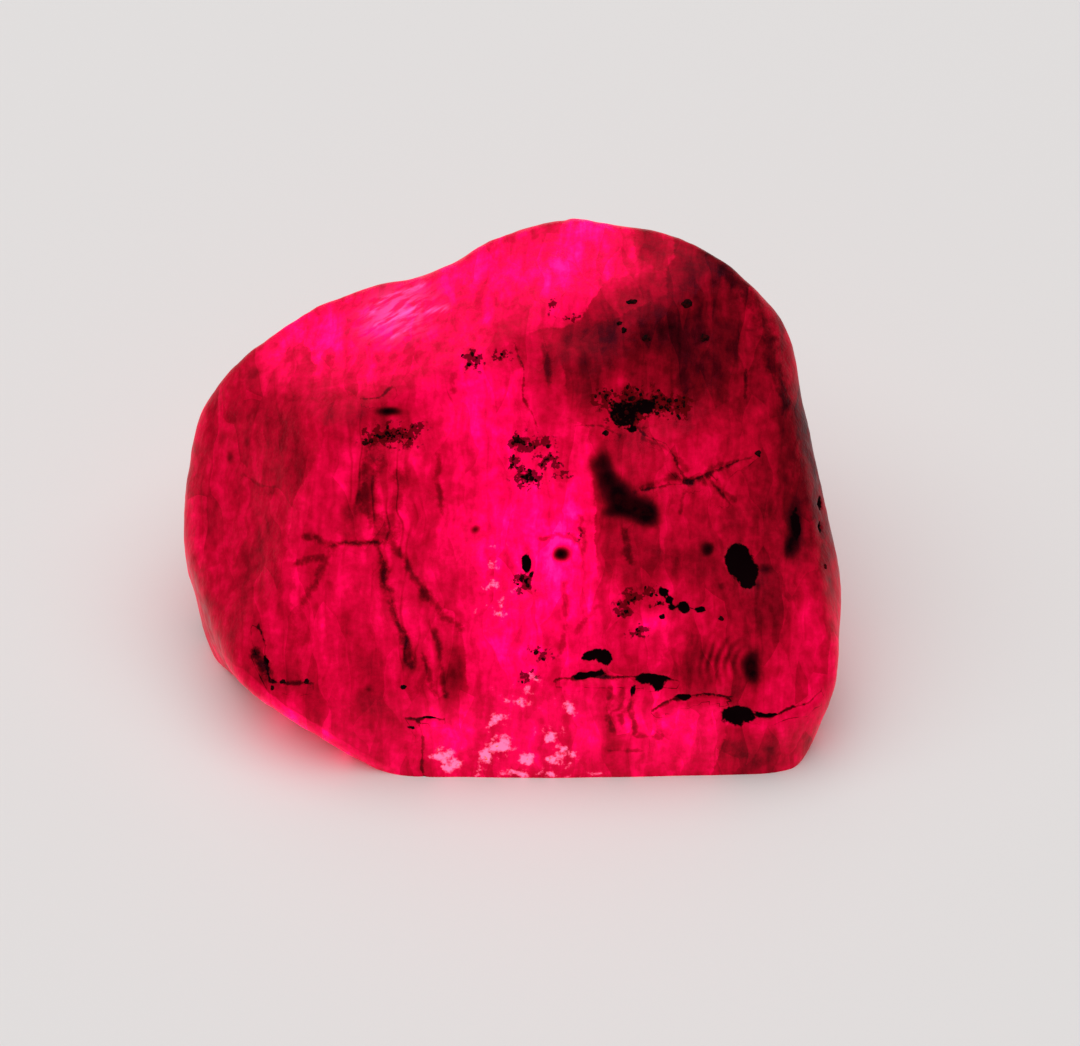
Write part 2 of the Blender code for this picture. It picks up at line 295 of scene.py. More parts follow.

# Other soft dark lines: the star, the grooves of the foot and the notch, whose dark is painted shade, and
# the web of veins on the right.
SHADES = (
    Line("star, left arm", ((-7.7, -3.9, 7.6), (-7.2, -4.1, 7.8), (-6.7, -4.4, 7.7)), 0.24, 0.16),
    Line("star, right arm", ((-6.7, -4.4, 7.7), (-5.8, -4.5, 7.9), (-4.9, -4.4, 7.9)), 0.28, 0.13),
    Line("star, lower arm", ((-6.8, -4.5, 7.4), (-7.3, -5.1, 6.4), (-7.8, -5.4, 5.7)), 0.2, 0.2),
    Line("star, side arm", ((-8.0, -4.4, 6.9), (-7.0, -4.5, 7.3)), 0.22, 0.15),
    Line("faint upright, left", ((-2.8, -2.4, 10.4), (-2.6, -3.7, 8.8)), 0.2, 0.12),
    Line("faint upright, ridge", ((-2.1, -0.4, 12.6), (-2.1, -0.8, 12.2)), 0.16, 0.14),
    Line("groove, first", ((3.7, -8.1, 4.0), (3.7, -8.5, 2.2)), 0.24, 0.13),
    Line("groove, second", ((4.1, -8.2, 3.9), (4.1, -8.5, 2.3)), 0.2, 0.12),
    Line("groove, third", ((4.5, -8.3, 3.4), (4.6, -8.6, 2.0)), 0.26, 0.13),
    Line("groove, fourth", ((5.5, -8.4, 2.9), (5.6, -8.6, 1.7)), 0.2, 0.14),
    Line("cross groove, upper", ((4.7, -8.6, 1.9), (5.7, -8.5, 1.9)), 0.22, 0.11),
    Line("cross groove, lower", ((3.7, -8.7, 1.3), (4.9, -8.7, 1.2)), 0.2, 0.11),
    Line(
        "vein by the round grain", ((1.1, -4.4, 8.1), (1.7, -4.3, 8.2), (2.3, -4.4, 8.1), (2.7, -4.7, 7.8)),
        0.2, 0.12,
    ),
    Line("left of the seam", ((2.5, -3.9, 8.8), (2.7, -4.5, 8.1), (2.7, -5.2, 7.3)), 0.18, 0.13),
    Line("upright of the column", ((2.0, -5.6, 6.9), (2.0, -6.6, 5.7), (1.8, -7.2, 5.0)), 0.16, 0.12),
    Line("hair of the right", ((8.8, 0.8, 11.8), (8.8, 0.1, 11.2)), 0.2, 0.1),
    Line(
        "band of the right rim", ((8.0, 3.5, 14.5), (9.2, 2.9, 13.2), (9.9, 1.3, 11.7), (10.3, 0.3, 10.5)),
        0.14, 0.4,
    ),
    Line("panel, upright", ((1.2, 0.4, 13.4), (1.3, -0.2, 12.9), (1.4, -0.8, 12.3)), 0.18, 0.13),
    Line("notch", ((-9.6, -6.2, 4.1), (-9.4, -6.4, 3.7), (-9.1, -6.8, 3.4)), 0.34, 0.28),
    Line("web, left", ((4.9, -3.3, 9.65), (5.5, -3.1, 9.8), (6.1, -2.8, 9.75), (6.6, -2.8, 9.5)), 0.2, 0.13),
    Line(
        "web, middle", ((6.1, -2.8, 9.75), (6.6, -2.8, 9.5), (7.1, -2.6, 9.4), (7.5, -2.2, 9.6)),
        0.26, 0.16,
    ),
    Line("web, end", ((7.5, -2.2, 9.6), (8.0, -1.9, 9.6), (8.5, -1.7, 9.6)), 0.2, 0.13),
    Line("web, down", ((5.0, -1.9, 10.9), (5.8, -2.2, 10.4), (6.5, -2.5, 9.8)), 0.16, 0.13),
    Line("web, right", ((7.1, -2.6, 9.4), (7.5, -2.8, 9.1), (8.3, -2.8, 8.6)), 0.18, 0.15),
    Line("web, upright", ((6.4, -3.1, 9.4), (6.3, -3.4, 9.15), (6.3, -3.8, 8.8)), 0.16, 0.1),
    Line("below the cloudy grain", ((4.2, -4.5, 8.35), (4.3, -4.9, 7.9), (4.5, -5.1, 7.6)), 0.18, 0.16),
    Line("curve by the arc", ((2.5, -6.7, 5.5), (2.8, -6.4, 5.9), (3.3, -6.1, 6.3)), 0.14, 0.13),
)

# Grains that lie deep in the stone and show as soft shadows, and dark patches of painted shade.
VEILS = clouds(
    ("left cluster, bar", -4.5, -1.2, 11.5, 0.5, 0.28, 0.17, 0.9),
    ("cloudy grain, head", 3.3, -2.66, 10.3, 0.4, 0.5, 0.46, 0.7),
    ("cloudy grain, neck", 3.5, -3.1, 9.85, 0.38, 0.42, 0.42, 0.76),
    ("cloudy grain, shoulder", 3.95, -3.45, 9.45, 0.52, 0.52, 0.5, 0.82),
    ("cloudy grain, middle", 4.4, -3.75, 9.15, 0.64, 0.54, 0.5, 0.97),
    ("cloudy grain, foot", 4.98, -4.02, 8.92, 0.6, 0.5, 0.48, 1.0),
    ("cloudy grain, skirt", 3.8, -3.95, 8.95, 0.5, 0.3, 0.24, 0.7),
    ("round cloudy grain", 1.9, -4.7, 7.7, 0.34, 0.3, 0.26, 0.92),
    ("grain under the ribs", 8.96, -7.15, 4.15, 0.36, 0.62, 0.64, 1.0),
    # Painted shade on the panel.
    ("smudge of the panel", 2.8, -0.2, 13.0, 0.42, 0.6, 0.5, 0.35),
    ("smudge of the panel, low", 2.5, -1.0, 12.2, 0.5, 0.5, 0.5, 0.2),
    ("left of the right hole", 7.28, -4.45, 7.63, 0.28, 0.3, 0.28, 0.95),
    ("right of the right hole", 9.5, -4.3, 6.5, 0.34, 0.3, 0.2, 0.7),
    ("under the right hole", 9.2, -4.9, 6.2, 0.2, 0.3, 0.25, 0.5),
    ("around the slot", 10.6, -2.8, 7.15, 0.32, 1.1, 1.0, 1.0),
    ("foot of the slot", 10.3, -3.5, 6.75, 0.22, 0.45, 0.35, 0.85),
    # Painted shade on the shoulder.
    ("shoulder smudge", 8.0, 1.9, 13.1, 0.3, 0.35, 0.25, 0.45),
    ("shoulder smudge, right", 8.9, 2.0, 12.8, 0.25, 0.2, 0.15, 0.4),
    # Painted shade on the left side.
    ("left smudge, top", -9.6, 2.2, 10.5, 0.45, 0.4, 0.3, 0.32),
    ("left smudge, middle", -10.9, 0.8, 8.4, 0.3, 0.5, 0.4, 0.35),
    ("left smudge, low", -10.6, 0.0, 8.1, 0.25, 0.25, 0.25, 0.45),
    ("left smudge, right", -9.9, 0.1, 8.9, 0.2, 0.2, 0.2, 0.35),
    ("column dot", -1.3, -4.2, 8.3, 0.16, 0.16, 0.14, 0.6),
    ("arc, right dot", 7.8, -5.3, 6.5, 0.14, 0.14, 0.12, 0.5),
    ("left foot dot", -5.3, -8.0, 3.8, 0.18, 0.2, 0.2, 0.45),
)

# Open holes, painted black as the shade inside them, and solid black grains.
SPOTS = clouds(
    ("right hole, top", 8.4, -4.15, 7.0, 0.5, 0.5, 0.46, 1.0),
    ("right hole", 8.6, -4.4, 6.7, 0.54, 0.6, 0.56, 1.0),
    ("right hole, foot", 8.8, -4.6, 6.45, 0.44, 0.5, 0.42, 1.0),
    ("right slot", 10.65, -2.7, 7.2, 0.2, 0.8, 0.65, 1.0),
    ("edge slot", 11.6, -1.3, 7.0, 0.12, 0.35, 0.3, 1.0),
    ("edge slot, low", 11.6, -2.2, 6.6, 0.1, 0.25, 0.22, 1.0),
    ("hole over the ledge, left", 2.9, -7.1, 4.7, 0.36, 0.3, 0.2, 1.0),
    ("hole over the ledge, middle", 3.2, -7.05, 4.7, 0.28, 0.25, 0.18, 1.0),
    ("hole over the ledge, right", 3.5, -7.15, 4.6, 0.34, 0.34, 0.3, 1.0),
    ("mouth of the ledge, left", 2.85, -7.75, 4.25, 0.85, 0.22, 0.09, 1.0),
    ("mouth of the ledge, right", 5.15, -7.8, 4.15, 0.8, 0.28, 0.18, 1.0),
    ("drip of the ledge", 5.45, -7.9, 3.95, 0.22, 0.3, 0.26, 1.0),
    ("dot under the ledge", 4.5, -8.2, 3.85, 0.12, 0.2, 0.26, 1.0),
    ("crack over the foot", 6.4, -8.2, 3.6, 0.36, 0.2, 0.12, 1.0),
    ("hole in the foot", 8.4, -8.2, 2.6, 0.66, 0.45, 0.4, 1.0),
    ("tail of that hole", 9.5, -8.3, 2.7, 0.48, 0.3, 0.12, 1.0),
    ("core of the upper cluster", 4.1, -1.25, 11.5, 0.52, 0.5, 0.44, 1.0),
    ("upper cluster, right core", 5.0, -0.95, 11.6, 0.5, 0.35, 0.22, 1.0),
    ("under the upper cluster", 4.5, -1.7, 11.1, 0.24, 0.15, 0.11, 1.0),
    ("arc, hook top", 5.6, -5.8, 6.75, 0.24, 0.2, 0.16, 1.0),
    ("arc, hook middle", 5.85, -5.95, 6.5, 0.21, 0.2, 0.2, 1.0),
    ("arc, hook foot", 5.95, -6.15, 6.25, 0.2, 0.22, 0.2, 1.0),
    ("arc, end", 6.4, -6.2, 6.3, 0.23, 0.25, 0.24, 1.0),
    ("beside the arc", 7.1, -6.2, 6.2, 0.27, 0.16, 0.14, 1.0),
    ("centre cluster, core", 0.5, -5.05, 7.35, 0.18, 0.32, 0.36, 1.0),
    ("notch, slit", -9.2, -6.35, 3.8, 0.09, 0.25, 0.42, 1.0),
    ("foot crack, thick part", -3.1, -8.35, 2.7, 0.4, 0.15, 0.07, 1.0),
)

# Clusters of rust-red grit with black cores.
GRITS = clouds(
    ("upper cluster, left", 3.5, -1.0, 12.0, 0.55, 0.4, 0.4, 1.18),
    ("upper cluster, core", 4.3, -1.25, 11.5, 0.8, 0.5, 0.5, 1.42),
    ("upper cluster, top", 4.7, -0.75, 11.9, 1.0, 0.4, 0.32, 1.18),
    ("upper cluster, middle", 5.5, -0.7, 11.5, 0.8, 0.5, 0.36, 1.3),
    ("upper cluster, right", 6.2, -0.75, 11.4, 0.5, 0.5, 0.45, 1.18),
    ("middle cluster, top", 0.4, -2.1, 10.7, 0.53, 0.39, 0.38, 1.3),
    ("middle cluster, left", 0.1, -2.6, 10.2, 0.31, 0.33, 0.38, 1.06),
    ("middle cluster, foot", 0.7, -3.0, 9.8, 0.6, 0.44, 0.38, 1.36),
    ("middle cluster, right", 1.4, -2.5, 10.3, 0.53, 0.39, 0.38, 1.06),
    ("middle cluster, right end", 1.9, -2.8, 9.9, 0.44, 0.33, 0.31, 0.94),
    ("middle cluster, upper right", 1.2, -2.1, 10.8, 0.38, 0.33, 0.28, 0.89),
    ("left cluster", -4.4, -1.75, 10.85, 1.05, 0.45, 0.33, 1.15),
    ("left cluster, right", -3.5, -1.6, 11.0, 0.45, 0.3, 0.3, 1.0),
    ("left cluster, left", -5.2, -1.9, 10.8, 0.4, 0.3, 0.3, 1.0),
    ("ridge cluster", -1.4, 0.1, 13.0, 0.42, 0.5, 0.4, 1.0),
    ("ridge cluster, right", -0.5, 0.0, 13.1, 0.5, 0.3, 0.2, 0.95),
    ("upper ridge cluster", 1.5, 1.8, 14.1, 0.22, 0.5, 0.35, 0.8),
    ("upper ridge cluster, right", 2.2, 1.5, 13.8, 0.4, 0.2, 0.12, 0.95),
    ("centre cluster", 0.5, -5.45, 6.95, 0.45, 0.45, 0.45, 1.15),
    ("arc, left", 4.15, -6.2, 6.2, 0.35, 0.4, 0.35, 1.26),
    ("arc, upper left", 4.6, -5.95, 6.6, 0.42, 0.3, 0.28, 1.2),
    ("arc, top", 5.2, -5.8, 6.8, 0.45, 0.3, 0.22, 1.2),
    ("arc, inside", 5.4, -6.1, 6.3, 0.35, 0.25, 0.25, 0.72),
    ("left of the arc's foot", 4.7, -6.8, 5.6, 0.35, 0.3, 0.25, 1.03),
    ("over the ledge, left", 1.1, -7.3, 5.0, 0.5, 0.4, 0.32, 0.69),
    ("over the ledge, far left", 0.6, -7.85, 4.3, 0.42, 0.4, 0.32, 0.69),
    ("by the seam", 2.5, -4.4, 8.2, 0.4, 0.4, 0.28, 0.42),
)

# Patches of white frost near the foot.
FROSTS = clouds(
    ("left patch", -2.6, -8.6, 1.0, 0.6, 0.8, 0.54, 0.9),
    ("left patch, low", -2.2, -8.7, 0.5, 0.6, 0.8, 0.48, 0.95),
    ("middle, upper", -0.45, -8.45, 2.5, 0.6, 0.8, 0.66, 0.9),
    ("middle", -0.3, -8.7, 1.3, 0.72, 0.8, 0.72, 1.15),
    ("middle, left", -0.9, -8.7, 0.9, 0.6, 0.8, 0.48, 0.95),
    ("middle, foot", -1.2, -8.8, 0.3, 0.72, 0.8, 0.36, 0.85),
    ("right of the middle", 0.6, -8.8, 1.0, 0.42, 0.8, 0.48, 0.95),
    ("right patch, upper", 1.5, -8.6, 1.9, 0.54, 0.8, 0.72, 0.95),
    ("right patch", 1.8, -8.8, 1.0, 0.78, 0.8, 0.72, 1.1),
    ("right patch, top", 2.2, -8.35, 3.3, 0.34, 0.6, 0.6, 0.9),
    ("foot line", 1.0, -8.9, 0.2, 2.16, 0.8, 0.36, 0.85),
    ("column specks", -0.6, -5.6, 6.9, 0.96, 1.6, 1.92, 0.62),
    ("column specks, low", 0.4, -7.9, 3.6, 1.44, 0.8, 0.96, 0.66),
)

# The milky streak on the left of the top.
MILKS = (
    Line(
        "streak, upper", ((-5.2, 3.6, 12.2), (-4.8, 4.2, 12.4), (-4.1, 4.3, 12.6), (-3.3, 4.5, 12.9)),
        0.75, 0.13,
    ),
    Line("streak, middle", ((-5.0, 2.9, 12.2), (-4.2, 3.1, 12.5), (-3.7, 3.3, 12.7)), 0.85, 0.14),
    Line("streak, right", ((-3.1, 3.0, 12.9), (-2.5, 2.8, 13.1)), 0.6, 0.13),
    Line("streak, lower", ((-4.4, 2.1, 12.3), (-3.8, 2.3, 12.6)), 0.6, 0.11),
)

# Fine cracks, cut into the skin. In the ledge and the notch their dark line is painted shadow in the
# opening.
CRACKS = (
    Line(
        "right, down", ((4.9, -1.7, 11.0), (5.7, -2.0, 10.6), (6.1, -2.5, 10.0), (6.7, -2.8, 9.5)),
        0.4, 0.12, 0.03,
    ),
    Line(
        "right, across", ((4.9, -3.3, 9.6), (6.7, -2.8, 9.5), (7.5, -2.3, 9.5), (8.7, -1.6, 9.6)),
        0.38, 0.12, 0.03,
    ),
    Line("right, fork", ((7.3, -2.45, 9.5), (7.5, -2.7, 9.1), (7.9, -2.9, 8.8)), 0.28, 0.12, 0.02),
    Line(
        "left of the upper cluster", ((2.7, -1.7, 11.3), (3.3, -1.6, 11.3), (3.7, -1.8, 11.1)),
        0.35, 0.1, 0.02,
    ),
    Line(
        "panel edge", ((0.2, 0.1, 13.3), (0.4, -0.2, 12.9), (0.5, -1.0, 12.2), (0.9, -1.6, 11.5)),
        0.42, 0.12, 0.03,
    ),
    Line(
        "over the left cluster", ((-5.3, -0.7, 11.8), (-4.9, -0.75, 11.85), (-4.6, -0.6, 12.0)),
        0.45, 0.1, 0.03,
    ),
    Line("foot crack, across", ((-3.6, -8.3, 2.6), (-3.2, -8.3, 2.7), (-2.8, -8.4, 2.7)), 0.8, 0.12, 0.04),
    Line(
        "foot crack, down", ((-3.5, -8.4, 2.4), (-3.3, -8.5, 1.8), (-3.3, -8.6, 1.2), (-3.3, -8.8, 0.1)),
        0.45, 0.12, 0.04,
    ),
    Line(
        "ledge, left", ((2.0, -7.9, 4.2), (2.9, -7.75, 4.25), (3.7, -7.8, 4.2), (5.9, -7.8, 4.1)),
        0.8, 0.13, 0.06,
    ),
    Line(
        "ledge, middle",
        ((5.5, -8.3, 3.1), (6.0, -8.3, 3.5), (6.4, -8.2, 3.6), (7.2, -8.2, 3.7), (7.9, -8.0, 3.4)),
        0.75, 0.13, 0.1,
    ),
    Line(
        "ledge, right", ((9.0, -8.3, 2.7), (9.9, -8.3, 2.7), (10.9, -7.7, 2.8), (11.5, -7.4, 2.9)),
        0.8, 0.13, 0.1,
    ),
    Line(
        "notch, slit", ((-9.5, -5.8, 4.6), (-9.3, -6.1, 4.2), (-9.15, -6.6, 3.4), (-9.0, -7.0, 3.2)),
        0.8, 0.12, 0.08,
    ),
    Line("notch, foot", ((-9.0, -7.0, 3.2), (-8.5, -7.1, 3.3), (-7.6, -7.3, 3.5)), 0.45, 0.11, 0.04),
    Line("star", ((-6.7, -4.4, 7.7), (-5.8, -4.5, 7.9), (-4.9, -4.4, 7.9)), 0.16, 0.12, 0.03),
    Line("fibre", ((-4.9, -4.5, 7.9), (-4.6, -5.4, 6.7), (-3.9, -6.8, 5.3)), 0.16, 0.12, 0.03),
    Line("left, across", ((-9.9, -1.0, 8.0), (-9.3, -1.3, 8.0), (-8.8, -1.5, 8.1)), 0.16, 0.12, 0.02),
)

# Single grains that stand in the surface.
SPECKS = (
    Speck("crown, left", (4.5, 1.9, 14.3), (0.27, 0.18, 0.15)),
    Speck("crown, right", (6.5, 2.1, 14.0), (0.28, 0.2, 0.15)),
    Speck("shoulder, upper", (4.0, 1.0, 14.0), (0.14, 0.1, 0.1)),
    Speck("shoulder, stem", (4.2, 0.8, 13.8), (0.13, 0.14, 0.15)),
    Speck("shoulder, left", (5.0, 0.7, 13.5), (0.23, 0.18, 0.16)),
    Speck("shoulder, right", (7.2, 1.3, 13.0), (0.24, 0.2, 0.18)),
    Speck("below the upper cluster", (3.5, -1.9, 11.1), (0.15, 0.13, 0.13)),
    Speck("right side", (9.2, -1.3, 9.5), (0.14, 0.14, 0.16)),
    Speck("left cluster, dot", (-5.4, -2.0, 10.7), (0.15, 0.12, 0.14)),
    Speck("foot, left", (-4.0, -8.0, 3.9), (0.13, 0.1, 0.12)),
    Speck("foot, crack", (-3.7, -8.4, 2.2), (0.17, 0.1, 0.1)),
    Speck("notch, middle", (-8.5, -7.1, 3.3), (0.17, 0.1, 0.1)),
    Speck("notch, right", (-7.6, -7.3, 3.5), (0.15, 0.1, 0.13)),
    Speck("notch, low", (-8.9, -7.1, 3.0), (0.1, 0.1, 0.1)),
    Speck("beside the arc, low", (7.8, -6.2, 5.7), (0.12, 0.1, 0.12)),
    Speck("in the arc", (5.6, -6.4, 6.0), (0.13, 0.1, 0.12)),
    Speck("edge of the right", (11.8, -3.4, 5.7), (0.09, 0.12, 0.14)),
)


def bell(away: np.ndarray) -> np.ndarray:
    """Fades from 1 at zero to 0 on both sides."""
    return np.exp(-(away**2))


def waves(points: np.ndarray, length: float | Point, shift: float = 0.0) -> np.ndarray:
    """Smooth noise at each point, about -1 to 1.

    Args:
        points: Places in millimetres.
        length: Size of one lump in millimetres, the same each way or along x, y and z.
        shift: Moves the pattern, so that two uses differ.

    Returns:
        One value for each point.
    """
    scaled = points / np.array(length) + shift
    return np.array([noise.noise(Vector(place)) for place in scaled])


def line_distance(
    points: np.ndarray, normals: np.ndarray, line: tuple[Point, ...], slack: float = 0.5
) -> tuple[np.ndarray, np.ndarray]:
    """Distance of each point from a line, along the surface, where the line passes close to it.

    Args:
        points: Places on the surface in millimetres.
        normals: The surface's directions there.
        line: The line, as a row of points.
        slack: How far off the surface the line may lie.

    Returns:
        The distance, and how far the point lies to the left of the line.
    """
    nearest = np.full(len(points), FAR)
    side = np.full(len(points), FAR)
    for start, end in zip(line, line[1:]):
        first = np.array(start)
        run = np.array(end) - first
        share = np.clip((points - first) @ run / (run @ run), 0.0, 1.0)
        away = points - first - share[:, None] * run
        above = (away * normals).sum(axis=1)
        along = away - above[:, None] * normals
        distance = np.hypot(np.linalg.norm(along, axis=1), np.maximum(np.abs(above) - slack, 0.0))
        across = (np.cross(normals, run / np.linalg.norm(run)) * away).sum(axis=1)
        closer = distance < nearest
        nearest[closer] = distance[closer]
        side[closer] = across[closer]
    return nearest, side


def placed(name: str, data: bpy.types.ID) -> bpy.types.Object:
    """Puts a mesh, a light or a camera in the scene as a new object."""
    made = bpy.data.objects.new(name, data)
    bpy.context.scene.collection.objects.link(made)
    return made


def evaluated_mesh(thing: bpy.types.Object) -> bpy.types.Mesh:
    """The plain mesh that an object's modifiers give."""
    graph = bpy.context.evaluated_depsgraph_get()
    return bpy.data.meshes.new_from_object(thing.evaluated_get(graph))


class Bench:
    """Adds the nodes of one tree and joins them."""

    def __init__(self, tree: bpy.types.NodeTree) -> None:
        """Takes the tree to work on."""
        self.tree = tree

    def join(self, socket: Socket, value: Feed) -> None:
        """Joins another node's output to a socket, or sets the socket's own value."""
        if isinstance(value, bpy.types.NodeSocket):
            self.tree.links.new(value, socket)
        else:
            socket.default_value = value

    def feed(self, node: bpy.types.Node, inputs: dict[str, Feed]) -> None:
        """Gives each named input of a node what it takes."""
        for name, value in inputs.items():
            self.join(next(s for s in node.inputs if s.enabled and s.name == name), value)

    def add(self, kind: str, inputs: dict[str, Feed] | None = None, **settings: object) -> bpy.types.Node:
        """Adds a node.

        Args:
            kind: Blender's name of its kind.
            inputs: What its inputs take, by their names.
            **settings: Its other settings.

        Returns:
            The node.
        """
        node = self.tree.nodes.new(kind)
        for name, value in settings.items():
            setattr(node, name, value)
        self.feed(node, inputs or {})
        return node

    def math(self, operation: str, first: Feed, second: Feed = 0.0, clamp: bool = False) -> Socket:
        """One sum on one or two values.

        Args:
            operation: Blender's name of the sum.
            first: First value.
            second: Second value, where the sum takes one.
            clamp: Whether the result is kept between 0 and 1.

        Returns:
            The result.
        """
        node = self.add("ShaderNodeMath", operation=operation, use_clamp=clamp)
        self.join(node.inputs[0], first)
        self.join(node.inputs[1], second)
        return node.outputs[0]

    def plus(self, first: Feed, second: Feed) -> Socket:
        """Adds two values."""
        return self.math("ADD", first, second)

    def times(self, first: Feed, second: Feed) -> Socket:
        """Multiplies two values."""
        return self.math("MULTIPLY", first, second)

    def span(self, value: Feed, low: float, high: float, start: float = 0.0, end: float = 1.0) -> Socket:
        """Eases a value from start to end as it goes from low to high.

        Args:
            value: What is eased.
            low: Where the easing starts.
            high: Where it ends.
            start: Result up to low.
            end: Result from high on.

        Returns:
            The eased value.
        """
        limits = {"From Min": low, "From Max": high, "To Min": start, "To Max": end}
        kind = "ShaderNodeMapRange"
        return self.add(kind, {"Value": value, **limits}, interpolation_type="SMOOTHSTEP").outputs["Result"]

    def stretch(self, place: Feed, scale: Point) -> Socket:
        """Scales a place or a colour along each of its axes."""
        node = self.add("ShaderNodeVectorMath", operation="MULTIPLY")
        self.join(node.inputs[0], place)
        self.join(node.inputs[1], scale)
        return node.outputs["Vector"]

    def noise(
        self, place: Feed, scale: float, detail: float, roughness: float = 0.55, output: str = "Fac"
    ) -> Socket:
        """A noise pattern.

        Args:
            place: Where the pattern is read.
            scale: Lumps for each unit of place.
            detail: How many finer layers it has.
            roughness: How strong the finer layers are.
            output: Fac for one value, Color for three.

        Returns:
            The pattern.
        """
        inputs = {"Vector": place, "Scale": scale, "Detail": detail, "Roughness": roughness}
        return self.add("ShaderNodeTexNoise", inputs).outputs[output]

    def layer(self, layer: Layer, output: str = "Fac") -> Socket:
        """What the skin's vertices carry under this name."""
        return self.add("ShaderNodeAttribute", attribute_name=layer.value).outputs[output]

    def blend(self, share: Feed, first: Feed, second: Feed) -> Socket:
        """Goes from the first colour to the second by a share."""
        node = self.add("ShaderNodeMix", data_type="RGBA", clamp_factor=True)
        self.join(node.inputs[0], share)
        self.join(node.inputs[6], first)
        self.join(node.inputs[7], second)
        return node.outputs[2]

    def ramp(self, value: Feed, stops: tuple[tuple[float, Colour], ...]) -> Socket:
        """Colours a value by stops."""
        node = self.add("ShaderNodeValToRGB", {"Fac": value})
        elements = node.color_ramp.elements
        while len(elements) < len(stops):
            elements.new(0.5)
        for element, (position, colour) in zip(elements, stops):
            element.position = position
            element.color = colour
        return node.outputs["Color"]

    def bump(self, height: Feed, strength: float, distance: float) -> Socket:
        """The surface's direction with small relief on it, whose depth is in metres."""
        inputs = {"Height": height, "Strength": strength, "Distance": distance}
        return self.add("ShaderNodeBump", inputs).outputs["Normal"]


def new_finish(name: str) -> tuple[bpy.types.Material, Bench, bpy.types.Node]:
    """A new material, the bench for its nodes, and its shader."""
    material = bpy.data.materials.new(name)
    material.use_nodes = True
    return material, Bench(material.node_tree), material.node_tree.nodes["Principled BSDF"]


